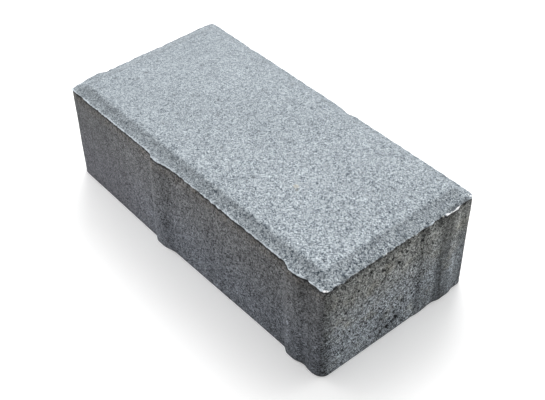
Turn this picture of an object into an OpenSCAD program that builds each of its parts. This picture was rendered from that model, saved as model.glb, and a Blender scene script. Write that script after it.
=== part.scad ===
// Concrete paving stone: one rectangular block cast in one piece, with a
// dropped bevel round its top face, rounded upright corners and low spacer
// nibs on its sides.
// The origin is the middle of the bed (the flat underside). X runs along the
// length, Y across the width and Z up, in millimetres.

/* [Block] */
// Length over the nibs on the short sides
overall_l = 200; // [180:1:240]
// Width over the nibs on the long sides
overall_w = 100; // [90:1:120]
// Height from the bed to the top face
block_h = 60; // [40:1:100]
// Radius of the four upright corners
corner_r = 4; // [2:0.5:8]

/* [Top edge] */
// Width of the bevel along the two long sides
bevel_long_w = 6.5; // [4:0.5:9]
// Width of the bevel along the two short sides
bevel_short_w = 8.5; // [4:0.5:12]
// Drop from the top face to the outer edge of the bevel
bevel_drop = 3.2; // [1:0.1:6]
// Share of the drop taken by the small step beside the top face
step_share = 0.35; // [0.1:0.05:0.6]
// Width of that small step
step_w = 1.2; // [0.5:0.1:2]

/* [Spacer nibs] */
// How far the nibs stand out of the long sides
nib_long_proud = 2; // [0.5:0.1:4]
// How far the nibs stand out of the short sides
nib_short_proud = 1; // [0.5:0.1:4]
// Width of a nib at its root
nib_w = 16; // [10:0.5:20]
// Width of the flat crest of a nib
nib_crest_w = 4; // [2:0.5:9]
// How far the crest of a long side's nib lies off the nib's middle
nib_lean = 2.5; // [0:0.1:4]
// Distance from the middle to the inner nib of a long side
nib_inner_x = 19; // [12:0.5:25]
// Distance from the middle to the outer nib of a long side
nib_outer_x = 80; // [60:0.5:80]
// Distance from the middle to the nib of a short side
nib_side_y = 33; // [10:0.5:33]
// Gap between the outer edge of the bevel and the tops of the back nibs
back_nib_gap = 2; // [1.5:0.5:20]

/* [Hidden] */

body_l = overall_l - 2*nib_short_proud;
body_w = overall_w - 2*nib_long_proud;
edge_z = block_h - bevel_drop;      // outer edge of the bevel
root = 2;                           // how far a nib runs into the block
flank_n = 6;                        // straight pieces in each nib flank

// Smooth step from 0 to 1
function ease(t) = t*t*(3 - 2*t);

// One nib in plan, standing out along +Y from the line y = 0, with its crest
// lean toward +X. The flank on that side is the steeper one.
function nib_points(w, crest, proud, lean) =
    let (l = min(lean, (w - crest)/2 - 0.3),
         long_f = (w - crest)/2 + l,
         steep_f = (w - crest)/2 - l)
    concat(
        [[-w/2, -root]],
        [for (i = [0:flank_n]) [-w/2 + long_f*i/flank_n, proud*ease(i/flank_n)]],
        [for (i = [flank_n:-1:0]) [w/2 - steep_f*i/flank_n, proud*ease(i/flank_n)]],
        [[w/2, -root]]);

// Bevel cutter in section: 0,0 is the inner edge, at the level of the top face
function bevel_points(w) = [
    [0, 0],
    [step_w, -bevel_drop*step_share],
    [(step_w + w)/2, -bevel_drop*(0.55 + 0.45*step_share)],
    [w, -bevel_drop],
    [w + 12, -bevel_drop],
    [w + 12, 6],
    [0, 6]];

// Plain block with rounded upright corners
module blank() {
    translate([-body_l/2 + corner_r, -body_w/2, 0])
        cube([body_l - 2*corner_r, body_w, block_h]);
    translate([-body_l/2, -body_w/2 + corner_r, 0])
        cube([body_l, body_w - 2*corner_r, block_h]);
    for (sx = [-1, 1], sy = [-1, 1])
        translate([sx*(body_l/2 - corner_r), sy*(body_w/2 - corner_r), 0])
            cylinder(r = corner_r, h = block_h, $fn = 96);
}

// Upright nib, h tall from the bed
module nib(proud, h, lean) {
    linear_extrude(height = h) polygon(nib_points(nib_w, nib_crest_w, proud, lean));
}

// Cutter for the bevel along a side of length l that lies toward -Y
module bevel_cut(l, half, w) {
    translate([-l/2, 0, 0])
        rotate([90, 0, 90])
            linear_extrude(height = l)
                translate([-half + w, block_h])
                    polygon([for (p = bevel_points(w)) [-p[0], p[1]]]);
}

// The nibs of the front and of one short side. A half turn gives the others.
module side_nibs(h) {
    for (x = [-nib_inner_x, nib_outer_x])
        translate([x, -body_w/2, 0]) rotate([0, 0, 180]) nib(nib_long_proud, h, nib_lean);
}

module end_nib() {
    translate([body_l/2, nib_side_y, 0]) rotate([0, 0, -90]) nib(nib_short_proud, edge_z, 0);
}

module paving_block() {
    color([0.62, 0.65, 0.67])
        difference() {
            union() {
                blank();
                side_nibs(edge_z);
                rotate([0, 0, 180]) side_nibs(edge_z - back_nib_gap);
                end_nib();
                rotate([0, 0, 180]) end_nib();
            }
            for (a = [0, 180]) rotate([0, 0, a]) {
                bevel_cut(body_l + 30, body_w/2, bevel_long_w);
                rotate([0, 0, 90]) bevel_cut(body_w + 30, body_l/2, bevel_short_w);
            }
        }
}

paving_block();
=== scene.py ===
"""Concrete paving stone: visual model and studio. All lengths below are millimetres until the mesh is made."""
import math
import bpy
import numpy as np
from mathutils import Matrix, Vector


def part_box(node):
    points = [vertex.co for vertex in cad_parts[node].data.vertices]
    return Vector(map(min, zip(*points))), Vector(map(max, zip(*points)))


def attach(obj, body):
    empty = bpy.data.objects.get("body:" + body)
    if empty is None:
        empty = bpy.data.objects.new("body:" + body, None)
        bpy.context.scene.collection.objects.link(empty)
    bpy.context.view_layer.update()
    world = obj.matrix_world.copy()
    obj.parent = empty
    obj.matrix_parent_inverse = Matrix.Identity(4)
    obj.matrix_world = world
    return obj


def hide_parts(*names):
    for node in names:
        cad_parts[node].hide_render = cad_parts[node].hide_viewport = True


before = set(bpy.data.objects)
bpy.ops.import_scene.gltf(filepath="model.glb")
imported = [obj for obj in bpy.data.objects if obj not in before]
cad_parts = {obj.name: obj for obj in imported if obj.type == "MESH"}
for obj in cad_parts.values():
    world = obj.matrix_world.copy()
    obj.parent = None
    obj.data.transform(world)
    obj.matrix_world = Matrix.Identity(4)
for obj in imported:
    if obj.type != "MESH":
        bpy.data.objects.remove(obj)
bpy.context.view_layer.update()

# ---------------------------------------------------------------- sizes
LO, HI = [np.array(c, float) * 1000.0 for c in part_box("paving_block")]
TOP_Z = HI[2]
HALF_L = HI[0] - 1.0          # body half length, inside the end nibs
HALF_W = HI[1] - 2.0          # body half width, inside the side nibs
CORNER_R, CORNER_TOP = 4.2, 3.2   # at the bed, and at the bevel's edge
DROP = 3.2                    # from the top face to the outer edge of the bevel
EDGE_Z = TOP_Z - DROP
BEV_LONG, BEV_SHORT = 6.5, 8.8
RHO = 0.5                     # rounding of the bevel's outer edge
RHO_B = 0.45                  # rounding of the bottom edge
BLEND_R = 10.0                # zone over which the corner rounding fades in

RNG = np.random.default_rng(20260)


# ---------------------------------------------------------------- noise
def _hash(ix, iy, iz, seed):
    h = (ix * 374761393 + iy * 668265263 + iz * 1440662683 + seed * 974634777) & 0xFFFFFFFF
    h = ((h ^ (h >> 13)) * 1274126177) & 0xFFFFFFFF
    h = ((h ^ (h >> 16)) * 2246822519) & 0xFFFFFFFF
    return h ^ (h >> 15)


def noise3(p, wave, seed):
    """Gradient noise, about -1 to 1, with features wave mm across (wave may be one number or three)."""
    q = np.asarray(p, float) / np.asarray(wave, float) + 100.37 + seed * 17.13
    i0 = np.floor(q).astype(np.int64)
    f = q - i0
    u = f * f * f * (f * (f * 6 - 15) + 10)
    out = np.zeros(len(q))
    for dx in (0, 1):
        wx = u[:, 0] if dx else 1 - u[:, 0]
        for dy in (0, 1):
            wy = u[:, 1] if dy else 1 - u[:, 1]
            for dz in (0, 1):
                wz = u[:, 2] if dz else 1 - u[:, 2]
                h = _hash(i0[:, 0] + dx, i0[:, 1] + dy, i0[:, 2] + dz, seed)
                gx = ((h & 1023) / 511.5) - 1
                gy = (((h >> 10) & 1023) / 511.5) - 1
                gz = (((h >> 20) & 1023) / 511.5) - 1
                out += wx * wy * wz * (gx * (f[:, 0] - dx) + gy * (f[:, 1] - dy) + gz * (f[:, 2] - dz))
    return out * 1.6


def fbm(p, wave, seed, octaves=2, gain=0.5):
    wave = np.asarray(wave, float)
    out, amp, tot = 0, 1.0, 0.0
    for k in range(octaves):
        out = out + amp * noise3(p, wave / 2 ** k, seed + 31 * k)
        tot += amp
        amp *= gain
    return out / tot


def smooth(t):
    t = np.clip(t, 0, 1)
    return t * t * (3 - 2 * t)


# ---------------------------------------------------------------- nibs and slow bows of the sides
# side, root / crest / crest / root along it, proud at the top, proud at the bed
NIBS = [
    ("-y", -29.2, -23.8, -21.4, -10.6, 1.8, 2.1),
    ("-y", 72.2, 77.0, 80.6, 88.0, 1.75, 1.95),
    ("+x", 24.6, 29.6, 35.2, 40.2, 1.0, 1.05),
    ("+y", 10.6, 21.4, 23.8, 29.2, 1.9, 2.0),
    ("+y", -88.0, -80.6, -77.0, -72.2, 1.9, 2.0),
    ("-x", -40.2, -35.2, -29.6, -24.6, 1.0, 1.0),
]


def nib_out(side, along, z):
    out = np.zeros_like(along)
    for s, r0, c0, c1, r1, top, bed in NIBS:
        if s != side:
            continue
        t = np.minimum((along - r0) / (c0 - r0), (r1 - along) / (r1 - c1))
        proud = bed + (top - bed) * np.clip(z / EDGE_Z, 0, 1)
        if side == "+y":            # the back nibs stop short of the edge
            proud = proud * smooth((EDGE_Z - 1.4 - z) / 2.4)
        out = np.maximum(out, proud * smooth(t))
    return out


def bow_out(side, along, z):
    """Slow unevenness of a side: a mould mark, fuller low down."""
    low = np.clip(1 - z / EDGE_Z, 0, 1)
    if side == "-y":
        b = np.interp(along, [-99, -90, -72, -52, -28, -5, 18, 50, 75, 99],
                      [-0.95, -0.75, -0.45, -0.05, 0.35, 0.45, 0.3, 0.05, 0.05, 0.0])
        heel = 1.05 * np.exp(-((along - 92.0) / 4.6) ** 2) * (0.12 + 0.88 * low)
        return b * low + heel
    if side == "+y":
        b = np.interp(along, [-99, -40, 20, 99], [0.0, 0.2, 0.25, -0.3])
        return b * low
    if side == "+x":
        step_ = 0.42 * smooth((along - 9.5) / 5.5) * (1 - smooth((along - 15.0) / 9.0))
        return 0.15 * low * np.cos(along / 30.0) + step_ * smooth((54 - z) / 14)
    return 0.2 * low * np.cos(along / 26.0 + 0.7) + 0.5 * low * smooth((-along - 26) / 18)


# ---------------------------------------------------------------- plan grid
def lines(half, first, fine_to, fine, coarse):
    """Distances from the side plane inward, then mirrored: fine near the edges, coarser in the middle."""
    d = list(first)
    while d[-1] < fine_to - 1e-6:
        d.append(d[-1] + fine)
    a = half - np.array(d)
    n = max(2, int(round(2 * a[-1] / coarse)))
    mid = np.linspace(-a[-1], a[-1], n + 1)
    return np.concatenate([-a[:-1], mid, a[:-1][::-1]])


INSET45 = RHO * (1 - math.cos(math.pi / 4))
FIRST = [INSET45, 0.34, 0.54, 0.8, 1.1, 1.5, 2.0]
GX = lines(HALF_L, FIRST, 10.2, 0.5, 0.86)
GY = lines(HALF_W, FIRST, 7.7, 0.5, 0.86)
NX, NY = len(GX), len(GY)


def plan(gx, gy, radius):
    """Grid coordinates to the plan of the block with its upright corners rounded."""
    sx, sy = np.sign(gx), np.sign(gy)
    a = np.abs(gx) - (HALF_L - BLEND_R)
    b = np.abs(gy) - (HALF_W - BLEND_R)
    both = (a > 0) & (b > 0)
    s = np.maximum(a, b)
    rs = np.maximum(radius * s / BLEND_R, 1e-9)
    c = s - rs
    a1, b1 = np.minimum(a, c), np.minimum(b, c)
    da, db = a - a1, b - b1
    ln = np.hypot(da, db)
    m = np.maximum(da, db)
    k = np.where((da > 0) & (db > 0), m / np.maximum(ln, 1e-9), 1.0)
    ax, by = a1 + da * k, b1 + db * k
    x = np.where(both, sx * (HALF_L - BLEND_R + ax), gx)
    y = np.where(both, sy * (HALF_W - BLEND_R + by), gy)
    return x, y


def pushed(x, y, dx, dy, z, reach):
    """Move plan points outward with the nibs and bows of the sides they are close to."""
    fx, fy = 1 - smooth(dx / reach), 1 - smooth(dy / reach)
    ox = np.where(x > 0, nib_out("+x", y, z) + bow_out("+x", y, z), -(nib_out("-x", y, z) + bow_out("-x", y, z)))
    oy = np.where(y > 0, nib_out("+y", x, z) + bow_out("+y", x, z), -(nib_out("-y", x, z) + bow_out("-y", x, z)))
    return x + ox * fx, y + oy * fy


# ---------------------------------------------------------------- top, with the bevel
def raised_lip(p):
    """Height of the ragged lip along the outer edge, 0 to 1."""
    n = 0.50 + 1.5 * fbm(p, (4.2, 4.2, 4.2), 41, 3, 0.75)
    return np.clip(n, 0, 1.3)


gx, gy = [g.ravel() for g in np.meshgrid(GX, GY, indexing="ij")]
dx, dy = HALF_L - np.abs(gx), HALF_W - np.abs(gy)
px, py = plan(gx, gy, CORNER_TOP)
flat = np.stack([px, py, np.full_like(px, EDGE_Z)], 1)
wob = 0.62 * fbm(flat, (7, 7, 7), 3, 3, 0.6) + 0.35 * noise3(flat, 1.9, 5)


def bevel_at(shift):
    """Drop below the top face, and the bevel's own 0 to 1, with the inner edge moved out by shift mm."""
    ex_ = np.clip(1 - (dx + wob + shift) / BEV_SHORT, 0, 1)
    ey_ = np.clip(1 - (dy + wob + shift) / BEV_LONG, 0, 1)
    e_ = np.minimum((ex_ ** 3 + ey_ ** 3) ** (1 / 3), 1.0)
    w_ = smooth(ey_ / np.maximum(ex_ + ey_, 1e-9))
    return ex_, ey_, e_, DROP * (1 - (1 - e_) ** (1.06 + 0.56 * w_))


ex, ey, e, drop = bevel_at(0.0)
drop = np.mean([bevel_at(t)[3] for t in (-1.3, -0.8, -0.4, 0.0, 0.4, 0.8, 1.3)], axis=0)
drop = np.where(np.minimum(dx, dy) < 1.4, np.minimum(drop * 1.02, DROP), drop)
rim_mm = np.maximum(BEV_SHORT - dx, BEV_LONG - dy) - wob      # outward from the inner edge
d = np.minimum(dx, dy)
inside = np.clip(RHO - d, 0, RHO)
round_off = RHO - np.sqrt(np.maximum(RHO ** 2 - inside ** 2, 0))
lip_amp = raised_lip(flat)
lip_shape = np.exp(-((d - 0.5) / 0.36) ** 2)
lip = 0.36 * lip_amp * lip_shape
tz = TOP_Z - drop - round_off + lip
tx, ty = pushed(px, py, dx, dy, np.full_like(px, EDGE_Z), 4.5)
top = np.stack([tx, ty, tz], 1)
TOP_N = len(top)
tid = np.arange(TOP_N).reshape(NX, NY)

# boundary loop of the top grid, counter-clockwise seen from above, from the corner (-x, -y)
loop_ij = ([(i, 0) for i in range(NX - 1)] + [(NX - 1, j) for j in range(NY - 1)]
           + [(i, NY - 1) for i in range(NX - 1, 0, -1)] + [(0, j) for j in range(NY - 1, 0, -1)])
LI = np.array([p[0] for p in loop_ij])
LJ = np.array([p[1] for p in loop_ij])
loop_top = tid[LI, LJ]
NL = len(LI)

# ---------------------------------------------------------------- side rows
depths = [RHO * (1 - math.sin(math.radians(a))) for a in (28, 12, 0)]
insets = [RHO * (1 - math.cos(math.radians(a))) for a in (28, 12, 0)]
step = 0.45
while depths[-1] + step < EDGE_Z - 1.2:
    depths.append(depths[-1] + step)
    insets.append(0.0)
    step = min(step * 1.09, 0.86)
low_z = [0.8, 0.4, 0.14, 0.0]
zs = [EDGE_Z - dd for dd in depths] + low_z
low_in = [RHO_B - math.sqrt(max(RHO_B ** 2 - max(RHO_B - z, 0) ** 2, 0)) for z in low_z]
low_in[-1] = 0.34
insets = insets + low_in
NR = len(zs)
rows = []
edge_up = top[loop_top, 2] - (EDGE_Z - RHO * (1 - math.sin(math.pi / 4)))   # how far the edge is off its mean height
for k in range(NR):
    lim_x, lim_y = HALF_L - insets[k], HALF_W - insets[k]
    rx = np.where(LI == 0, -lim_x, np.where(LI == NX - 1, lim_x, GX[LI]))
    ry = np.where(LJ == 0, -lim_y, np.where(LJ == NY - 1, lim_y, GY[LJ]))
    qx, qy = plan(rx, ry, np.interp(zs[k], [0, 38, EDGE_Z], [CORNER_R, 0.25 * CORNER_R + 0.75 * CORNER_TOP + 0.35, CORNER_TOP]))
    z = np.full(NL, zs[k])
    ddx, ddy = HALF_L - np.abs(rx), HALF_W - np.abs(ry)
    on_x, on_y = (LI == 0) | (LI == NX - 1), (LJ == 0) | (LJ == NY - 1)
    qx2, qy2 = pushed(qx, qy, np.where(on_x, 0, ddx), np.where(on_y, 0, ddy), z, 4.5)
    z = z + edge_up * math.exp(-max(EDGE_Z - zs[k], 0) / 1.6) * (1 if zs[k] > 30 else 0)
    rows.append(np.stack([qx2, qy2, z], 1))
side = np.concatenate(rows)
sid = TOP_N + np.arange(NR * NL).reshape(NR, NL)

# ---------------------------------------------------------------- underside: a coarser grid and a stitched band
bxs = np.linspace(-(HALF_L - 4.5), HALF_L - 4.5, 93)
bys = np.linspace(-(HALF_W - 4.5), HALF_W - 4.5, 44)
bgx, bgy = [g.ravel() for g in np.meshgrid(bxs, bys, indexing="ij")]
bx, by = plan(bgx, bgy, CORNER_R)
BOT0 = TOP_N + NR * NL
bot = np.stack([bx, by, np.zeros_like(bx)], 1)
bid = BOT0 + np.arange(len(bot)).reshape(len(bxs), len(bys))
verts = np.concatenate([top, side, bot])

quads = []
a, b, c, dd_ = tid[:-1, :-1], tid[1:, :-1], tid[1:, 1:], tid[:-1, 1:]
q_top = np.stack([a, b, c, dd_], -1).reshape(-1, 4)
ring = np.concatenate([loop_top[None, :], sid])
nxt = np.roll(np.arange(NL), -1)
q_side = np.concatenate([np.stack([ring[k], ring[k + 1], ring[k + 1][nxt], ring[k][nxt]], -1) for k in range(NR)])
a, b, c, dd_ = bid[:-1, :-1], bid[1:, :-1], bid[1:, 1:], bid[:-1, 1:]
q_bot = np.stack([a, dd_, c, b], -1).reshape(-1, 4)

m, n = len(bxs), len(bys)
inner_ij = ([(i, 0) for i in range(m - 1)] + [(m - 1, j) for j in range(n - 1)]
            + [(i, n - 1) for i in range(m - 1, 0, -1)] + [(0, j) for j in range(n - 1, 0, -1)])
inner = bid[[p[0] for p in inner_ij], [p[1] for p in inner_ij]]
outer = sid[-1]


def fractions(ids, corners):
    """Running length round a closed loop, with its four corners at 0, 1, 2 and 3."""
    f = np.zeros(len(ids) + 1)
    marks = list(corners) + [len(ids)]
    for s in range(4):
        f[marks[s]:marks[s + 1] + 1] = s + np.linspace(0, 1, marks[s + 1] - marks[s] + 1)
    return f


fo = fractions(outer, (0, NX - 1, NX + NY - 2, 2 * NX + NY - 3))
fi = fractions(inner, (0, m - 1, m + n - 2, 2 * m + n - 3))
band, i, j = [], 0, 0
no, ni = len(outer), len(inner)
while i < no or j < ni:
    if j >= ni or (i < no and fo[i + 1] <= fi[j + 1]):
        band.append((outer[i % no], inner[j % ni], outer[(i + 1) % no]))
        i += 1
    else:
        band.append((outer[i % no], inner[j % ni], inner[(j + 1) % ni]))
        j += 1
t_band = np.array(band)

# ---------------------------------------------------------------- normals, then relief along them
def vertex_normals(v):
    n_ = np.zeros_like(v)
    for q in (q_top, q_side, q_bot):
        f = np.cross(v[q[:, 2]] - v[q[:, 0]], v[q[:, 3]] - v[q[:, 1]])
        for k in range(4):
            np.add.at(n_, q[:, k], f)
    f = np.cross(v[t_band[:, 1]] - v[t_band[:, 0]], v[t_band[:, 2]] - v[t_band[:, 0]])
    for k in range(3):
        np.add.at(n_, t_band[:, k], f)
    return n_ / np.maximum(np.linalg.norm(n_, axis=1, keepdims=True), 1e-12)


N = vertex_normals(verts)
count = len(verts)
is_top = np.zeros(count)
is_top[:TOP_N] = 1
is_bot = np.zeros(count)
is_bot[BOT0:] = 1
is_side = 1 - is_top - is_bot
bev_e = np.zeros(count)
bev_e[:TOP_N] = e
end_w = smooth((np.abs(N[:, 0]) - np.abs(N[:, 1])) * 1.5 + 0.5) * is_side
height = verts[:, 2].copy()

rel = np.zeros(count)
P = verts
rel += is_top * (0.06 * fbm(P, 2.0, 11, 2, 0.6) + 0.07 * noise3(P, 9.0, 12) + 0.06 * noise3(P, 34.0, 13))
long_w = is_side * (1 - end_w)
rel += long_w * (0.045 * fbm(P, 1.9, 21, 2, 0.6) + 0.09 * noise3(P, (9, 9, 17), 22) + 0.05 * noise3(P, (1.9, 1.9, 24), 23))
rel += end_w * (0.075 * fbm(P, 1.9, 31, 2, 0.8) + 0.09 * noise3(P, (7, 7, 10), 32) + 0.05 * noise3(P, (2.4, 2.4, 22), 33))

# pits: centre, radius and depth, each on one face
pits = []


def scatter(n_, side_, u0, u1, v0, v1, r0, r1, k0, k1):
    for _ in range(n_):
        u, v = RNG.uniform(u0, u1), RNG.uniform(v0, v1)
        r = r0 + (r1 - r0) * RNG.random() ** 2.2
        pits.append((side_, u, v, r, r * RNG.uniform(k0, k1)))


scatter(230, "top", -97, 97, -46, 46, 0.75, 1.5, 0.12, 0.30)
for s_ in ("-y", "+y"):
    scatter(120, s_, -97, 97, 3, 55, 0.75, 1.5, 0.14, 0.30)
for s_ in ("+x", "-x"):
    scatter(90, s_, -45, 45, 3, 56, 0.8, 1.5, 0.22, 0.45)
    scatter(34, s_, -44, 44, 50.5, 56, 0.9, 2.0, 0.3, 0.5)
scatter(30, "+x", -15, 3, 3, 18, 0.9, 1.6, 0.45, 0.7)
# bigger open holes on the ends: along, height, radius
HOLES = ((-2.3, 12.8, 1.1), (-0.5, 8.0, 1.2), (-7.6, 15.8, 1.0), (-13.1, 22.3, 0.9), (-11.3, 14.2, 1.1), (-3.1, 6.4, 1.5),
         (-6.2, 5.6, 1.6), (4.2, 2.2, 1.0), (-10.6, 18.5, 0.9), (2.5, 17.4, 1.2), (-19.8, 32.1, 0.9), (9.3, 17.6, 1.0),
         (-0.9, 2.0, 0.8), (-5.0, 11.0, 0.8), (-9.0, 10.5, 0.8), (-13.0, 9.0, 0.7), (-31.5, 21.0, 0.9), (-34.5, 35.0, 1.1),
         (-36.0, 24.0, 0.8), (-27.0, 44.0, 1.0), (-12.0, 47.0, 1.1), (-6.0, 50.0, 1.2), (3.0, 49.0, 1.0), (13.0, 50.0, 1.1),
         (20.0, 44.0, 0.9), (-20.0, 51.0, 1.2), (-41.0, 40.0, 0.9), (9.0, 36.0, 0.9), (16.0, 29.0, 0.8), (-1.5, 45.0, 1.2), (-12.0, 40.0, 0.9))
hole = np.zeros(count)
for u_, v_, r_ in HOLES:
    for sgn, uu, vv, rr in ((1, u_, v_, r_), (-1, 9.0 - u_, 9.0 + 0.8 * v_, r_ * 0.8)):
        q = np.where((N[:, 0] * sgn > 0.6) & (is_side > 0), np.hypot(P[:, 1] - uu, P[:, 2] - vv), 99.0)
        rel -= 0.85 * rr * np.exp(-(q / (0.9 * rr)) ** 2)
        hole = np.maximum(hole, np.clip(1 - q / (2.2 * rr), 0, 1))
# mask of painted shade for the pits, edge chips and hollows carved below
pit_shade_mask = np.zeros(count)
for s_, u, v, r, deep in pits:
    if s_ == "top":
        sel = np.nonzero((is_top > 0) & (np.abs(P[:, 0] - u) < 2 * r) & (np.abs(P[:, 1] - v) < 2 * r))[0]
        q = np.hypot(P[sel, 0] - u, P[sel, 1] - v)
    elif s_ in ("-y", "+y"):
        sgn = -1 if s_ == "-y" else 1
        sel = np.nonzero((N[:, 1] * sgn > 0.6) & (is_side > 0) & (np.abs(P[:, 0] - u) < 2 * r) & (np.abs(P[:, 2] - v) < 2 * r))[0]
        q = np.hypot(P[sel, 0] - u, P[sel, 2] - v)
    else:
        sgn = -1 if s_ == "-x" else 1
        sel = np.nonzero((N[:, 0] * sgn > 0.6) & (is_side > 0) & (np.abs(P[:, 1] - u) < 2 * r) & (np.abs(P[:, 2] - v) < 2 * r))[0]
        q = np.hypot(P[sel, 1] - u, P[sel, 2] - v)
    if len(sel) == 0:
        continue
    g = np.exp(-(q / (0.72 * r)) ** 2)
    rel[sel] -= deep * g
    pit_shade_mask[sel] = np.maximum(pit_shade_mask[sel], g * min(deep / 0.45, 1.0))

# chips along the outer edge of the bevel: rougher on the short sides
edge_d = np.full(count, 99.0)
edge_d[:TOP_N] = d
edge_d[TOP_N:BOT0] = np.repeat(np.maximum(EDGE_Z - np.array(zs), 0), NL)
near_edge = np.exp(-(edge_d / 1.3) ** 2)
quiet = 1 - np.maximum(0.70 * smooth((P[:, 1] - HALF_W + 7) / 4), 0.84 * smooth((-P[:, 0] - HALF_L + 7) / 4))   # the far edges show cleaner
end_top = np.zeros(count)
end_top[:TOP_N] = smooth((ex - ey) * 2 + 0.5) * (ex > 0)
end_all = np.maximum(end_top, end_w)
rag = np.stack([P[:, 0], P[:, 1], np.full(count, EDGE_Z) + 0.6 * (P[:, 2] - EDGE_Z)], 1)
chip_n = fbm(rag, 3.4, 51, 3, 0.7)
chip = np.clip(chip_n - (0.07 - 0.07 * end_all), 0, 1) * (1.9 + 1.8 * end_all)
rel -= chip * near_edge * (1 - is_bot) * quiet
rel += 0.30 * (1 - quiet) * near_edge * is_top
# a ragged undercut just below the edge
under = np.exp(-((edge_d - 1.7) / 0.9) ** 2) * is_side
under_n = np.clip(fbm(rag, 2.6, 57, 3, 0.7) + 0.06 + 0.08 * end_all, 0, 1)
rel -= under_n * under * (0.8 + 0.9 * end_all) * quiet

# single chips: place, radius, depth
for cx_, cy_, cz_, r, deep in ((13.5, 48.0, EDGE_Z, 3.4, 0.8), (98.3, -46.4, EDGE_Z - 0.4, 1.4, 0.5),
                               (96.5, 46.0, EDGE_Z - 0.5, 1.6, 0.3), (99.2, 30.0, EDGE_Z, 1.8, 0.5),
                               (-64.0, 48.0, EDGE_Z, 2.2, 0.4), (-99.0, 12.0, EDGE_Z, 2.4, 0.5)):
    q = np.linalg.norm(P - np.array([cx_, cy_, cz_]), axis=1)
    rel -= deep * np.exp(-(q / r) ** 2) * (1 - is_bot)

# small chips scattered along the outer edge
edge_chips = []
for sgn in (-1, 1):
    for _ in range(20):
        edge_chips.append((sgn * 98.8, RNG.uniform(-45, 45), RNG.uniform(1.0, 2.1), RNG.uniform(0.55, 1.15)))
    for _ in range(26):
        edge_chips.append((RNG.uniform(-95, 95), sgn * 47.8, RNG.uniform(0.8, 1.5), RNG.uniform(0.3, 0.6)))
for cx_, cy_, r, deep in edge_chips:
    if cx_ > 90 and 26 < cy_ < 38:
        continue
    q = np.sqrt((P[:, 0] - cx_) ** 2 + (P[:, 1] - cy_) ** 2 + (1.3 * (P[:, 2] - EDGE_Z + 0.5)) ** 2)
    g = np.exp(-(q / r) ** 2) * (1 - is_bot) * quiet
    rel -= deep * g
    pit_shade_mask = np.maximum(pit_shade_mask, 0.75 * deep * g * is_side)

# hollows along a line: points, half width, depth
for pts_, wid, deep in ((((98.2, 30.0), (98.0, 33.5), (98.3, 36.2)), 0.75, 0.75),
                        (((98.6, 38.6), (98.7, 40.6), (98.2, 43.0)), 0.8, 0.7)):
    best = np.full(count, 99.0)
    for (ax0, ay0), (ax1, ay1) in zip(pts_[:-1], pts_[1:]):
        tt = np.clip(((P[:, 0] - ax0) * (ax1 - ax0) + (P[:, 1] - ay0) * (ay1 - ay0)) / ((ax1 - ax0) ** 2 + (ay1 - ay0) ** 2), 0, 1)
        best = np.minimum(best, np.sqrt((P[:, 0] - ax0 - tt * (ax1 - ax0)) ** 2 + (P[:, 1] - ay0 - tt * (ay1 - ay0)) ** 2
                                        + (0.6 * (P[:, 2] - 57.0)) ** 2))
    g = np.exp(-(best / wid) ** 2) * (1 - is_bot)
    rel -= deep * g
    pit_shade_mask = np.maximum(pit_shade_mask, 0.95 * g)

# the relief dies out at the bed, so the stone stays flat on the floor
rel *= np.where(is_side > 0, smooth((height - 0.1) / 1.2), 1.0)
V = verts + N * rel[:, None]
bed = is_bot > 0
V[bed, 2] = np.clip(0.22 * (0.35 + fbm(verts[bed], 4.0, 61, 3, 0.6)), 0, 0.5) * smooth(
    (np.minimum(HALF_L - np.abs(verts[bed, 0]), HALF_W - np.abs(verts[bed, 1])) - 4.4) / 3.0)
last = slice(TOP_N + (NR - 1) * NL, BOT0)
V[last, 2] = 0.0
V[:, 2] = np.maximum(V[:, 2], 0.0)
for ax_ in range(2):
    V[:, ax_] = np.clip(V[:, ax_], LO[ax_], HI[ax_])
V[:, 2] = np.minimum(V[:, 2], TOP_Z)

# ---------------------------------------------------------------- the mesh
mesh = bpy.data.meshes.new("paving_stone")
nq = len(q_top) + len(q_side) + len(q_bot)
flat_idx = np.concatenate([q_top.ravel(), q_side.ravel(), q_bot.ravel(), t_band.ravel()]).astype(np.int32)
starts = np.concatenate([np.arange(nq) * 4, nq * 4 + np.arange(len(t_band)) * 3]).astype(np.int32)
totals = np.concatenate([np.full(nq, 4), np.full(len(t_band), 3)]).astype(np.int32)
mesh.vertices.add(count)
mesh.vertices.foreach_set("co", (V / 1000.0).astype(np.float32).ravel())
mesh.loops.add(len(flat_idx))
mesh.loops.foreach_set("vertex_index", flat_idx)
mesh.polygons.add(len(starts))
mesh.polygons.foreach_set("loop_start", starts)
mesh.polygons.foreach_set("loop_total", totals)
mesh.polygons.foreach_set("use_smooth", np.ones(len(starts), dtype=bool))
mesh.update(calc_edges=True)
mesh.validate(verbose=False)

# bake layout: top, underside, two long sides and two ends, side by side in one square
PAGE = 330.0
uv = np.zeros((len(flat_idx), 2))
owner = np.repeat(np.arange(len(starts)), totals)
co = verts[flat_idx]
face_kind = np.concatenate([np.zeros(len(q_top)), np.ones(len(q_side)), np.full(len(q_bot), 2), np.full(len(t_band), 2)])
seg = np.tile(np.arange(NL), NR)                 # which loop segment each side quad lies on
seg_side = np.select([seg < NX - 1, seg < NX + NY - 2, seg < 2 * NX + NY - 3], [0, 1, 2], 3)
face_seg = np.full(len(starts), -1)
face_seg[len(q_top):len(q_top) + len(q_side)] = seg_side
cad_, fs = face_kind[owner], face_seg[owner]
x_, y_, z_ = co[:, 0], co[:, 1], co[:, 2]
idx_row = (flat_idx - TOP_N) // NL
idx_col = np.where(flat_idx < TOP_N, 0, (flat_idx - TOP_N) % NL)
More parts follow.
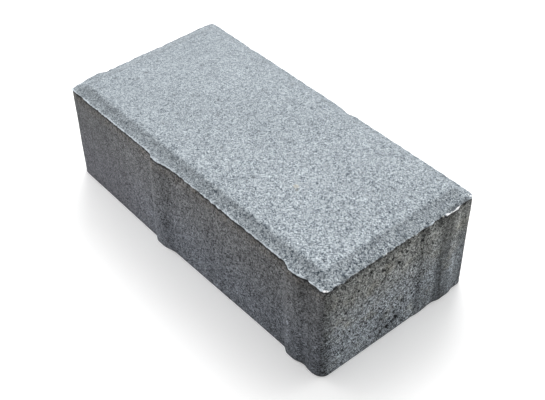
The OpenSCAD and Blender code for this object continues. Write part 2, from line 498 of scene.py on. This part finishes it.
# running position along each side, so that corner arcs aren't squeezed
arc = np.concatenate([[0], np.cumsum(np.hypot(np.diff(rows[8][:, 0]), np.diff(rows[8][:, 1])))])
arc_total = arc[-1] + math.hypot(rows[8][0, 0] - rows[8][-1, 0], rows[8][0, 1] - rows[8][-1, 1])
loop_pos = np.full(count, -1.0)
loop_pos[loop_top] = arc
for k in range(NR):
    loop_pos[sid[k]] = arc
lp = loop_pos[flat_idx]
marks = [0, arc[NX - 1], arc[NX + NY - 2], arc[2 * NX + NY - 3], arc_total]
lp = np.where((fs == 3) & (lp < 1.0), arc_total, lp)
m0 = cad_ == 0
uv[m0] = np.stack([x_[m0] + 105, y_[m0] + 52], 1)
m2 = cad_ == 2
uv[m2] = np.stack([x_[m2] + 105, -y_[m2] + 156], 1)
for s_, (ou, ov) in enumerate(((4.0, 212.0), (212.0, 4.0), (4.0, 272.0), (212.0, 64.0))):
    ms = (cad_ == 1) & (fs == s_)
    uv[ms] = np.stack([lp[ms] - marks[s_] + ou, z_[ms] * 0.9 + ov], 1)
uv /= PAGE
layer = mesh.uv_layers.new(name="OFBake")
layer.data.foreach_set("uv", uv.astype(np.float32).ravel())

# masks for the material, one value a vertex
def attribute(name, values):
    at = mesh.attributes.new(name, "FLOAT", "POINT")
    at.data.foreach_set("value", np.clip(values, 0, 1).astype(np.float32))


edge_s = np.full(count, 4.0)            # signed distance from the bevel's outer edge: + on the bevel, - down the side
edge_s[:TOP_N] = d
edge_s[TOP_N:BOT0] = -np.repeat(np.maximum(EDGE_Z - np.array(zs), 0), NL)
# pale line along the bevel's outer edge: partly pale cement on the raised lip, partly painted highlight; stronger
# toward +x, at the corner at -x, -y and above the nib on the +x end
lip_and_highlight_mask = 0.32 + 0.85 * raised_lip(P) - 0.16 * end_all + 0.12 * smooth((P[:, 0] + 20) / 30) * (1 - end_all)
corner_left = np.exp(-(np.hypot(P[:, 0] + 97, P[:, 1] + 46) / 9.0) ** 2)
lip_and_highlight_mask += 0.5 * corner_left
lip_and_highlight_mask += 0.9 * smooth((P[:, 0] - 90) / 4) * smooth((P[:, 1] - 27.0) / 1.2) * smooth((37.4 - P[:, 1]) / 1.2)
attribute("edge", (np.clip(edge_s, -4, 4) + 4) / 8)
# white broken cement skin: lines and spots, 1 at the middle and 0 at the given reach
flake = np.zeros(count)
for pts_, reach, k_ in ((((99.1, 28.0, 56.7), (99.4, 31.0, 56.7), (99.4, 34.0, 56.7), (99.0, 37.0, 56.7)), 1.05, 1.0),
                        (((97.7, -46.9, 56.9), (98.2, -46.3, 56.8)), 1.75, 1.0),
                        (((96.4, 46.0, 57.2), (98.0, 46.2, 57.0)), 0.95, 0.72),
                        (((-98.3, -46.2, 56.8), (-98.8, -43.0, 56.8)), 1.2, 0.7)):
    for a0, a1 in zip(pts_[:-1], pts_[1:]):
        a0, a1 = np.array(a0), np.array(a1)
        tt = np.clip(((P - a0) @ (a1 - a0)) / ((a1 - a0) @ (a1 - a0)), 0, 1)
        dist_ = np.linalg.norm(P - a0 - tt[:, None] * (a1 - a0), axis=1)
        flake = np.maximum(flake, k_ * np.clip(1 - dist_ / reach, 0, 1))
attribute("flake", flake)
attribute("hole", hole)
attribute("face_top", is_top)
attribute("face_end", end_all)
rim = np.full(count, 1.0)
rim[:TOP_N] = (rim_mm + 4.0) / 16.0
attribute("rim", rim)

# slow changes over the sides, 1 is plain: painted shade and painted highlight on the nibs' flanks, painted shade
# growing toward the corner at +x, -y (and its copy by a half turn), vertical streaks, and slow darker and lighter
# patches
def bump_at(u, c_, w_):
    return np.exp(-((u - c_) / w_) ** 2)


def long_tone_and_painted_light(u, z):
    t = np.interp(u, [-99, -90, -72, -58, -30, -10, 20, 50, 60, 70, 76, 82, 88, 94, 99], TONE_AND_LIGHT_LONG)
    # painted highlight on the lower-u flank of both nibs, painted shade on the higher-u flank of the first
    t = t - 0.10 * bump_at(u, -15.5, 4.0) + 0.17 * bump_at(u, -25.2, 1.9) + 0.05 * bump_at(u, 76.5, 2.0)
    drag = 0.05 * np.sin(u / 6.1 + 1.0 + z / 31.0) + 0.20 * noise3(np.stack([u, 0 * u, z / 14.0], 1), 2.4, 71) * smooth((u - 66) / 14)
    t = t * (1 - 0.09 * smooth((20 - z) / 8) * smooth((u - 48) / 10))
    return t + drag * smooth((z - 2) / 10)


def end_tone_and_painted_light(u, z):
    t = np.interp(u, [-48, -46, -44, -38, 8, 18, 24, 33, 38, 42, 46, 48], TONE_AND_LIGHT_END)
    v = u + 0.9 * np.sin(z / 13.0) + 0.02 * (z - 28)
    # painted shade on the end nib's lower-v flank, weaker higher up, and painted highlight on its higher-v flank; the
    # other narrow bands are streaks
    t = t - (0.40 - 0.0018 * z - 0.09 * bump_at(z, 28, 9) + 0.03 * smooth((z - 38) / 8)) * bump_at(v, 28.0, 2.6)
    t = t + 0.07 * smooth((v - 33) / 3) * smooth((z - 36) / 8) + 0.26 * bump_at(v, 37.0, 1.5) + 0.12 * bump_at(v, 22.0, 1.6)
    t = t - 0.20 * bump_at(v, 13.2, 2.0) + 0.10 * bump_at(v, 9.0, 1.6) - 0.10 * bump_at(v, -10.5, 1.2) - 0.10 * bump_at(v, -16.0, 1.2)
    drag = noise3(np.stack([v, 0 * v, z / 16.0], 1), 2.0, 73) + 0.7 * noise3(np.stack([v, 0 * v, z / 22.0], 1), 4.4, 75)
    t = t * (1 + smooth((v - 12) / 6) * np.interp(z, [2, 14, 30, 50], [-0.26, -0.20, 0.0, 0.07]))
    t = t * (1 - 0.10 * smooth((z - 34) / 10) * smooth((-26 - v) / 8)) * (1 + 0.05 * bump_at(z, 28, 10) * smooth((-1 - v) / 5))
    return t + 0.17 * drag * smooth((v - 8) / 6) + 0.05 * drag


# levels along u: the low values toward u = 99 on the long sides and u = -48 on the ends are painted shade at the corner
# where these meet; the rest are slow patches
TONE_AND_LIGHT_LONG = [0.82, 0.78, 0.86, 1.00, 1.01, 0.99, 0.97, 0.91, 0.89, 0.79, 0.86, 0.83, 0.63, 0.77, 0.46]
TONE_AND_LIGHT_END = [0.46, 0.53, 0.71, 1.02, 1.08, 0.86, 1.02, 0.76, 0.98, 0.66, 0.62, 0.58]
side_tone_and_painted_light = np.ones(count)
lt = np.where(N[:, 1] < 0, long_tone_and_painted_light(P[:, 0], height), long_tone_and_painted_light(-P[:, 0], height))
et = np.where(N[:, 0] > 0, end_tone_and_painted_light(P[:, 1], height), end_tone_and_painted_light(-P[:, 1], height))
side_tone_and_painted_light = np.where(is_side > 0, lt * (1 - end_w) + et * end_w, 1.0)
attribute("side_tone_and_painted_light", side_tone_and_painted_light * 0.5)
# mask of the pale lip line, partly painted highlight
attribute("lip", lip_and_highlight_mask)
attribute("pit", pit_shade_mask)
attribute("bed", is_bot)
# painted shade mask for the ragged undercut and the chips down the sides
attribute("undercut", (under_n * under * (1.0 + 0.9 * end_all) * 2.4 + chip * near_edge * is_side * 0.8))

stone = bpy.data.objects.new("paving_stone", mesh)
bpy.context.scene.collection.objects.link(stone)


# ---------------------------------------------------------------- material
def srgb(r, g, b):
    return tuple((c / 255 / 12.92) if c / 255 <= 0.04045 else ((c / 255 + 0.055) / 1.055) ** 2.4 for c in (r, g, b))


class Tree:
    def __init__(self, mat):
        self.t = mat.node_tree
        self.t.nodes.clear()

    def node(self, kind, **props):
        n_ = self.t.nodes.new(kind)
        for k, v in props.items():
            setattr(n_, k, v)
        return n_

    def put(self, socket, value):
        if isinstance(value, bpy.types.NodeSocket):
            self.t.links.new(value, socket)
        else:
            socket.default_value = value

    def math(self, op, a, b=0.0, c=0.0, clamp=False):
        n_ = self.node("ShaderNodeMath", operation=op, use_clamp=clamp)
        for s_, v in zip(n_.inputs, (a, b, c)):
            self.put(s_, v)
        return n_.outputs[0]

    def mul(self, a, b):
        return self.math("MULTIPLY", a, b)

    def add(self, a, b):
        return self.math("ADD", a, b)

    def sub(self, a, b):
        return self.math("SUBTRACT", a, b)

    def span(self, v, a, b, c=0.0, d=1.0, smooth_=True):
        n_ = self.node("ShaderNodeMapRange", interpolation_type="SMOOTHSTEP" if smooth_ else "LINEAR", clamp=True)
        for k, x in zip(("Value", "From Min", "From Max", "To Min", "To Max"), (v, a, b, c, d)):
            self.put(n_.inputs[k], x)
        return n_.outputs["Result"]

    def mix(self, f, a, b, mode="MIX"):
        n_ = self.node("ShaderNodeMix", data_type="RGBA", blend_type=mode, clamp_factor=True)
        self.put(n_.inputs[0], f)
        for k, v in ((6, a), (7, b)):
            self.put(n_.inputs[k], v if isinstance(v, bpy.types.NodeSocket) else (*v[:3], 1.0))
        return n_.outputs[2]

    def mix_f(self, f, a, b):
        """Plain numbers a to b by f."""
        return self.add(self.mul(f, b - a), a)

    def scaled(self, vec, s_):
        n_ = self.node("ShaderNodeVectorMath", operation="MULTIPLY")
        self.put(n_.inputs[0], vec)
        n_.inputs[1].default_value = s_
        return n_.outputs[0]

    def gain(self, col, f):
        """Colour times a plain number that changes over the surface."""
        n_ = self.node("ShaderNodeVectorMath", operation="SCALE")
        self.put(n_.inputs[0], col)
        self.put(n_.inputs["Scale"], f)
        return n_.outputs[0]

    def gain3(self, col, f, k):
        """Colour times 1 + (f - 1) k, with its own k for red, green and blue."""
        c_ = self.node("ShaderNodeCombineXYZ")
        d_ = self.sub(f, 1.0)
        for s_ in c_.inputs:
            self.put(s_, d_)
        m_ = self.node("ShaderNodeVectorMath", operation="MULTIPLY_ADD")
        self.put(m_.inputs[0], c_.outputs[0])
        m_.inputs[1].default_value = k
        m_.inputs[2].default_value = (1.0, 1.0, 1.0)
        n_ = self.node("ShaderNodeVectorMath", operation="MULTIPLY")
        self.put(n_.inputs[0], col)
        self.put(n_.inputs[1], m_.outputs[0])
        return n_.outputs[0]

    def noise(self, vec, wave, detail=2.0, rough=0.5, seed=0.0):
        n_ = self.node("ShaderNodeTexNoise", noise_dimensions="4D")
        self.put(n_.inputs["Vector"], vec)
        n_.inputs["W"].default_value = seed
        n_.inputs["Scale"].default_value = 1.0 / wave
        n_.inputs["Detail"].default_value = detail
        n_.inputs["Roughness"].default_value = rough
        return n_.outputs["Fac"]

    def cells(self, vec, wave, feature="F1", rnd=1.0):
        n_ = self.node("ShaderNodeTexVoronoi", feature=feature)
        self.put(n_.inputs["Vector"], vec)
        n_.inputs["Scale"].default_value = 1.0 / wave
        n_.inputs["Randomness"].default_value = rnd
        return n_

    def attr(self, name):
        return self.node("ShaderNodeAttribute", attribute_name=name).outputs["Fac"]

    def red(self, col):
        return self.node_out_sep(col, 0)

    def node_out_sep(self, col, k):
        n_ = self.node("ShaderNodeSeparateColor")
        self.put(n_.inputs[0], col)
        return n_.outputs[k]


TOP_A, TOP_B = (146, 154, 160), (151, 159, 165)
# bevel levels against the top: partly the bevel's own colour, partly painted shade
BEV_IN, BEV_OUT = 0.755, 0.875
# side and end colours, far darker than the top's: partly their own colour, partly painted shade of faces turned from
# the light
SIDE_LOW, SIDE_LEFT = (101, 105, 112), (102, 103, 109)
SIDE_HIGH, SIDE_RIM = (96, 97, 99), (101, 97, 92)
END_LOW, END_HIGH, END_TINT = (119, 125, 130), (114, 116, 114), (122, 118, 103)
# colour of the pale lip line, partly painted highlight
LIP_HIGHLIGHT_C = (212, 221, 228)

mat = bpy.data.materials.new("concrete")
mat.use_nodes = True
T = Tree(mat)
out = T.node("ShaderNodeOutputMaterial")
bsdf = T.node("ShaderNodeBsdfPrincipled")
T.t.links.new(bsdf.outputs[0], out.inputs[0])

coord = T.node("ShaderNodeTexCoord").outputs["Object"]
mm = T.scaled(coord, (1000.0, 1000.0, 1000.0))
sep = T.node("ShaderNodeSeparateXYZ")
T.put(sep.inputs[0], mm)
X, Y, Z = sep.outputs
TOPM, ENDM, LIP_HIGHLIGHT_M, PIT_SHADE_M = [T.attr(k) for k in ("face_top", "face_end", "lip", "pit")]

RIM = T.math("SUBTRACT", T.mul(T.attr("rim"), 16.0), 4.0)      # mm outward from the bevel's inner edge
UNDERCUT_SHADE_M = T.attr("undercut")

# sand grains: each cell its own value, on three sizes
fine = T.cells(mm, 0.47)
mid = T.cells(mm, 0.75)
big = T.cells(mm, 2.0)
g_fine = T.node_out_sep(fine.outputs["Color"], 0)
g_mid = T.node_out_sep(mid.outputs["Color"], 1)
g_big = T.node_out_sep(big.outputs["Color"], 2)
g_13 = T.node_out_sep(T.cells(T.scaled(coord, (1000.0, 1000.0, 830.0)), 1.35).outputs["Color"], 0)
haze = T.noise(mm, 1.0, 1.5, 0.6, 1.0)
haze2 = T.noise(mm, 2.2, 2.0, 0.55, 6.0)
mott = T.noise(mm, 8.0, 3.0, 0.55, 2.0)
cloud = T.noise(mm, 42.0, 2.0, 0.5, 3.0)
streak = T.noise(T.scaled(coord, (1000.0, 1000.0, 70.0)), 2.6, 3.0, 0.6, 4.0)


# dark and pale single grains
dark_t = T.span(g_mid, 0.90, 0.97)
pale_t = T.span(g_fine, 0.88, 0.96)


def grain(parts):
    v = None
    for src, amp in parts:
        t = T.mul(T.sub(src, 0.08 if src in (pale_t, dark_t) else 0.5), amp)
        v = t if v is None else T.add(v, t)
    return T.math("MAXIMUM", T.add(v, 1.0), 0.12)


near = T.span(T.sub(T.mul(X, 0.76), T.mul(Y, 0.65)), -75.0, 95.0, 0.58, 1.14, False)   # coarser toward one corner
near_side = T.span(X, -75.0, -10.0, 0.60, 1.0, False)
YS = T.mul(Y, T.math("SIGN", X))                      # the two ends are alike by a half turn
slick = T.span(YS, 19.0, 28.0)                        # wiped smoother over the nib
RIMD = T.span(T.math("SUBTRACT", T.mul(T.attr("rim"), 16.0), 4.0), -0.9, 1.1)
grain_top = grain([(g_fine, 0.98), (g_mid, 0.84), (g_13, 0.22), (haze, 0.34), (haze2, 0.18), (mott, 0.10), (pale_t, 0.26), (dark_t, -0.18)])
grain_side = grain([(g_fine, 1.46), (g_mid, 1.04), (g_13, 0.24), (haze, 0.6), (haze2, 0.46), (pale_t, 0.36)])
grain_end = grain([(g_fine, 2.1), (g_mid, 1.55), (g_13, 0.24), (haze, 0.45), (haze2, 0.20), (pale_t, 0.7)])
grain_top = T.math("MAXIMUM", T.add(1.0, T.mul(T.sub(grain_top, 1.0), T.mul(near, T.add(1.0, T.mul(RIMD, 0.06))))), 0.12)
grain_side = T.math("MAXIMUM", T.add(1.0, T.mul(T.sub(grain_side, 1.0), T.mul(near_side, T.span(Y, -30.0, 30.0, 1.0, 0.78)))), 0.12)
grain_end = T.math("MAXIMUM", T.add(1.0, T.mul(T.sub(grain_end, 1.0), T.mul(T.sub(1.0, T.mul(slick, 0.26)), T.span(X, -60.0, 60.0, 0.58, 1.0)))), 0.10)

# top face
c_top = T.mix(T.span(cloud, 0.35, 0.65), srgb(*TOP_A), srgb(*TOP_B))
c_top = T.gain3(c_top, grain_top, (1.05, 1.0, 0.95))
# bevel: pressed, darker along its inner edge, lighter toward the lip; the darkening is partly its own colour and partly
# painted shade of its slope, and the end bevels are painted lighter toward +x
rim_n = T.add(RIM, T.mul(T.sub(haze2, 0.5), 2.4))
dk = T.span(rim_n, -0.9, 1.1)
bev_long = T.span(RIM, 1.2, 5.6, BEV_IN, BEV_OUT, False)
bev_f = T.add(1.0, T.mul(dk, T.sub(T.mul(bev_long, T.span(mott, 0.3, 0.7, 0.93, 1.07, False)), 1.0)))
c_bev = T.gain(c_top, T.mul(bev_f, T.add(1.0, T.mul(T.mul(ENDM, dk), T.span(X, -80.0, 80.0, -0.01, 0.115)))))

# long sides: brown-grey above, bluish low down; darker than the top, partly as painted shade
low = T.mix(T.span(X, -70.0, 0.0), srgb(*SIDE_LEFT), srgb(*SIDE_LOW))
c_side = T.mix(T.span(Z, 6.0, 50.0), low, srgb(*SIDE_HIGH))
c_side = T.mix(T.mul(T.span(Z, 47.0, 56.0), T.span(haze2, 0.35, 0.65, 0.2, 0.8)), c_side, srgb(*SIDE_RIM))
c_side = T.gain(c_side, grain_side)
c_side = T.gain(c_side, T.span(streak, 0.25, 0.75, 0.87, 1.13, False))
c_side = T.gain(c_side, T.span(mott, 0.3, 0.7, 0.92, 1.08, False))
blot = T.noise(mm, 3.4, 1.5, 0.5, 19.0)
c_side = T.gain(c_side, T.span(blot, 0.54, 0.68, 1.03, 0.80))
rim_dark = T.mul(T.span(Z, 47.0, 57.0), T.span(T.noise(T.scaled(coord, (1000.0, 1000.0, 160.0)), 1.7, 2.0, 0.6, 27.0), 0.50, 0.62))
c_side = T.gain(c_side, T.sub(1.06, T.mul(rim_dark, 0.34)))

# short sides: coarser, a little olive above; darker than the top, partly as painted shade
c_end = T.mix(T.span(T.add(Z, T.mul(T.sub(mott, 0.5), 30.0)), 14.0, 48.0), srgb(*END_LOW), srgb(*END_HIGH))
c_end = T.mix(T.mul(T.span(mott, 0.50, 0.75), 0.30), c_end, srgb(*END_TINT))
c_end = T.gain(c_end, grain_end)
c_end = T.gain(c_end, T.span(streak, 0.25, 0.75, 0.84, 1.16, False))
streak_f = T.noise(T.scaled(coord, (1000.0, 1000.0, 55.0)), 1.3, 2.0, 0.6, 14.0)
c_end = T.gain(c_end, T.add(1.0, T.mul(T.mul(T.sub(streak_f, 0.5), 1.5), T.add(0.15, T.mul(slick, 0.85)))))

c_sides = T.mix(ENDM, c_side, c_end)
# painted shade: the sides darken over their lowest 2.2 mm, along the floor
c_sides = T.gain(c_sides, T.span(Z, 0.0, 2.2, 0.70, 1.0))
# slow changes over the sides, carrying painted shade and painted highlight on the nibs' flanks and toward one corner
c_sides = T.gain(c_sides, T.mul(T.attr("side_tone_and_painted_light"), 2.0))
# open pores: sparse, each its own size; painted as near-black spots, the shade of holes the mesh doesn't have
def pores(wave, least, most, share):
    c_ = T.cells(mm, wave)
    r_ = T.span(T.node_out_sep(c_.outputs["Color"], 0), 1.0 - share, 1.0, least / wave, most / wave, False)
    return T.mul(T.span(c_.outputs["Distance"], T.mul(r_, 1.15), T.mul(r_, 0.45)),
                 T.math("GREATER_THAN", T.node_out_sep(c_.outputs["Color"], 0), 1.0 - share))


PORE_E = T.mul(T.math("MAXIMUM", pores(2.1, 0.40, 0.78, 0.36), pores(4.3, 0.6, 1.1, 0.12)), T.sub(1.0, T.mul(slick, 0.7)))
PORE_L = pores(2.6, 0.38, 0.8, 0.34)
PORE_T = pores(3.1, 0.36, 0.72, 0.30)
# painted shade in the open pores of the sides, stronger on the ends
c_sides = T.mix(T.add(T.mul(T.mul(PORE_L, 0.66), T.sub(1.0, ENDM)), T.mul(T.mul(PORE_E, 0.92), ENDM)), c_sides, srgb(32, 34, 37))
EDGE = T.sub(T.mul(T.attr("edge"), 8.0), 4.0)          # mm from the bevel's outer edge, minus below it
edge_n = T.add(EDGE, T.add(T.mul(T.sub(haze, 0.5), 0.9), T.mul(T.sub(haze2, 0.5), T.mix_f(ENDM, 0.7, 2.6))))
patch = T.noise(mm, 5.0, 2.0, 0.6, 12.0)
# painted shadow under the bevel's outer edge: patches about 0.1 to 1.9 mm down the sides, fainter on the ends
under_edge_shadow_m = T.mul(T.mul(T.span(edge_n, -0.12, -0.40), T.span(edge_n, -1.9, -0.95)), T.span(patch, 0.36, 0.48))
c_sides = T.mix(T.mul(under_edge_shadow_m, T.mix_f(ENDM, 0.95, 0.60)), c_sides, srgb(28, 28, 31))
# painted shade in the undercut and chips carved below the edge
c_sides = T.mix(T.mul(UNDERCUT_SHADE_M, 0.22), c_sides, srgb(38, 38, 40))
# painted shade inside the open holes carved in the ends
hole_m = T.span(T.add(T.attr("hole"), T.mul(T.sub(haze, 0.5), 0.9)), 0.50, 0.66)
c_sides = T.mix(T.mul(hole_m, 0.88), c_sides, srgb(24, 25, 27))
# painted shade in the top's pores, faint
c_bev = T.mix(T.mul(PORE_T, 0.30), c_bev, srgb(92, 98, 104))
col = T.mix(TOPM, c_sides, c_bev)
# the pale lip line along the outer edge: partly pale cement, partly painted highlight
lip_band = T.mul(T.span(edge_n, -0.50, -0.15), T.span(edge_n, 0.75, 0.36))
lip_highlight_f = T.mul(T.mul(T.span(LIP_HIGHLIGHT_M, 0.25, 0.75), lip_band), T.span(haze, 0.36, 0.50, 0.35, 1.0))
col = T.mix(T.mul(lip_highlight_f, 0.95), col, srgb(*LIP_HIGHLIGHT_C))
# painted shade in the pits, edge chips and hollows carved into the mesh
col = T.mix(T.mul(PIT_SHADE_M, 0.55), col, srgb(44, 46, 48))
# the short edges are broken up: dark notches, painted shade standing for small breaks, and pale crumbs
FAR = T.math("MAXIMUM", T.span(Y, 44.5, 46.5), T.span(X, -95.5, -97.5))
notch_shade = T.span(T.noise(mm, 1.7, 1.0, 0.5, 23.0), 0.485, 0.565)
notch_shade_m = T.mul(T.mul(notch_shade, T.mul(T.span(EDGE, -1.7, -0.9), T.span(EDGE, 0.9, 0.3))), T.mul(ENDM, T.sub(1.0, T.mul(FAR, 0.8))))
col = T.mix(T.mul(notch_shade_m, 0.86), col, srgb(34, 37, 41))
crumb = T.span(T.noise(mm, 1.3, 1.0, 0.5, 29.0), 0.57, 0.64)
crumb_m = T.mul(T.mul(crumb, T.mul(T.span(EDGE, -1.3, -0.6), T.span(EDGE, 1.0, 0.4))), T.mul(ENDM, T.sub(1.0, FAR)))
col = T.mix(T.mul(crumb_m, 0.62), col, srgb(205, 206, 200))
# painted shade: a thin dark line along the far long edge, where the edge rounds away
far_edge_shade = T.mul(T.mul(T.span(Y, 45.0, 46.5), TOPM), T.span(T.add(EDGE, T.mul(T.sub(haze2, 0.5), 1.0)), 0.55, 0.0))
col = T.mix(T.mul(far_edge_shade, 0.26), col, srgb(112, 112, 108))
flake_m = T.span(T.add(T.attr("flake"), T.mul(T.sub(haze, 0.5), 0.7)), 0.36, 0.52)
col = T.mix(T.mul(flake_m, 0.97), col, srgb(250, 251, 252))


# pale single marks: x, y, z, radius, colour, strength
def mark(col_, x, y, z, r, colour, strength, wave=1.2):
    n_ = T.node("ShaderNodeVectorMath", operation="DISTANCE")
    T.put(n_.inputs[0], mm)
    n_.inputs[1].default_value = (x, y, z)
    warped = T.add(n_.outputs["Value"], T.mul(T.sub(T.noise(mm, wave, 2.0, 0.5, x), 0.5), r * 1.3))
    return T.mix(T.mul(T.span(warped, r, r * 0.55), strength), col_, colour)


col = mark(col, 41.3, -13.2, 60.0, 1.6, srgb(176, 174, 163), 0.7)
col = mark(col, 43.4, -14.6, 60.0, 1.0, srgb(104, 105, 101), 0.75)
T.put(bsdf.inputs["Base Color"], col)

# roughness and a fine bump for the grains too small for the mesh
rough = T.span(haze2, 0.3, 0.7, 0.86, 0.97, False)
T.put(bsdf.inputs["Roughness"], rough)
bsdf.inputs["Specular IOR Level"].default_value = 0.28
sand = T.noise(mm, 0.62, 1.0, 0.5, 17.0)
h_cell = T.add(T.mul(sand, 1.0), T.mul(haze, 0.5))
h_end = T.add(T.mul(sand, 1.9), T.mul(haze, 0.9))
hm = T.node("ShaderNodeMix", data_type="FLOAT")
T.put(hm.inputs[0], ENDM)
T.put(hm.inputs[2], h_cell)
T.put(hm.inputs[3], h_end)
bump = T.node("ShaderNodeBump")
bump.inputs["Strength"].default_value = 0.8
bump.inputs["Distance"].default_value = 0.0005
T.put(bump.inputs["Height"], hm.outputs[0])
T.t.links.new(bump.outputs[0], bsdf.inputs["Normal"])
mesh.materials.append(mat)

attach(stone, "root")
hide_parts("paving_block")

# ---------------------------------------------------------------- floor, light and camera
floor_mesh = bpy.data.meshes.new("floor")
floor_mesh.from_pydata([(-8, -8, 0), (8, -8, 0), (8, 8, 0), (-8, 8, 0)], [], [(0, 1, 2, 3)])
floor = bpy.data.objects.new("floor", floor_mesh)
bpy.context.scene.collection.objects.link(floor)
fm = bpy.data.materials.new("floor_white")
fm.use_nodes = True
fb = fm.node_tree.nodes["Principled BSDF"]
fb.inputs["Base Color"].default_value = (0.92, 0.92, 0.92, 1)
fb.inputs["Roughness"].default_value = 0.9
fb.inputs["Specular IOR Level"].default_value = 0.1
fb.inputs["Emission Color"].default_value = (1, 1, 1, 1)      # a light table
fb.inputs["Emission Strength"].default_value = 0.20
floor_mesh.materials.append(fm)

SKY_FRONT, SKY_BACK = 0.25, 1.54
world = bpy.data.worlds.new("studio")
bpy.context.scene.world = world
world.use_nodes = True
wt = world.node_tree
bg = wt.nodes["Background"]
bg.inputs[0].default_value = (1.0, 1.0, 1.0, 1)
# a big soft tent: bright behind and above the stone, dimmer in front
sky = wt.nodes.new("ShaderNodeTexCoord")
dot = wt.nodes.new("ShaderNodeVectorMath")
dot.operation = "DOT_PRODUCT"
dot.inputs[1].default_value = (-0.74, 0.60, 0.30)
ramp = wt.nodes.new("ShaderNodeMapRange")
ramp.interpolation_type = "SMOOTHSTEP"
ramp.inputs["From Min"].default_value = -0.55
ramp.inputs["From Max"].default_value = 0.95
ramp.inputs["To Min"].default_value = SKY_FRONT
ramp.inputs["To Max"].default_value = SKY_BACK
wt.links.new(sky.outputs["Generated"], dot.inputs[0])
wt.links.new(dot.outputs["Value"], ramp.inputs["Value"])
wt.links.new(ramp.outputs["Result"], bg.inputs["Strength"])


def area(name, place, aim, size, power, colour=(1, 1, 1)):
    light = bpy.data.lights.new(name, "AREA")
    light.shape = "SQUARE"
    light.size = size
    light.energy = power
    light.color = colour
    ob = bpy.data.objects.new(name, light)
    bpy.context.scene.collection.objects.link(ob)
    p, q = np.array(place, float), np.array(aim, float)
    back = (p - q) / np.linalg.norm(p - q)
    up = np.array([0, 0, 1.0])
    right = np.cross(up, back)
    right /= np.linalg.norm(right)
    up = np.cross(back, right)
    ob.matrix_world = Matrix(((right[0], up[0], back[0], p[0]), (right[1], up[1], back[1], p[1]),
                              (right[2], up[2], back[2], p[2]), (0, 0, 0, 1)))
    return ob


area("key_back", (-0.75, 0.80, 1.15), (0, 0, 0.03), 0.9, 14.0)
area("card_left", (-0.62, -0.20, 0.22), (-0.05, -0.05, 0.03), 0.35, 1.4)
area("card_right", (0.28, 0.85, 0.30), (0.10, 0.0, 0.03), 0.4, 2.0)

AZ, EL, ROLL = math.radians(49.498), math.radians(41.783), math.radians(-0.493)
back = np.array([math.sin(AZ) * math.cos(EL), -math.cos(AZ) * math.cos(EL), math.sin(EL)])
right = np.array([math.cos(AZ), math.sin(AZ), 0.0])
up = np.cross(back, right)
R = right * math.cos(ROLL) + up * math.sin(ROLL)
U = -right * math.sin(ROLL) + up * math.cos(ROLL)
C = (back * 554.83 + R * 5.873 + U * -10.550 + np.array([0, 0, 30.0])) / 1000.0
cam_data = bpy.data.cameras.new("camera")
cam_data.sensor_fit = "HORIZONTAL"
cam_data.sensor_width = 36.0
cam_data.lens = 1079.03 / 545.0 * 36.0
cam_data.clip_start = 0.01
cam_data.clip_end = 50.0
cam = bpy.data.objects.new("camera", cam_data)
bpy.context.scene.collection.objects.link(cam)
cam.matrix_world = Matrix(((R[0], U[0], back[0], C[0]), (R[1], U[1], back[1], C[1]), (R[2], U[2], back[2], C[2]), (0, 0, 0, 1)))
bpy.context.scene.camera = cam
bpy.context.scene.view_settings.view_transform = "Standard"
bpy.context.scene.view_settings.look = "None"

bpy.context.view_layer.update()
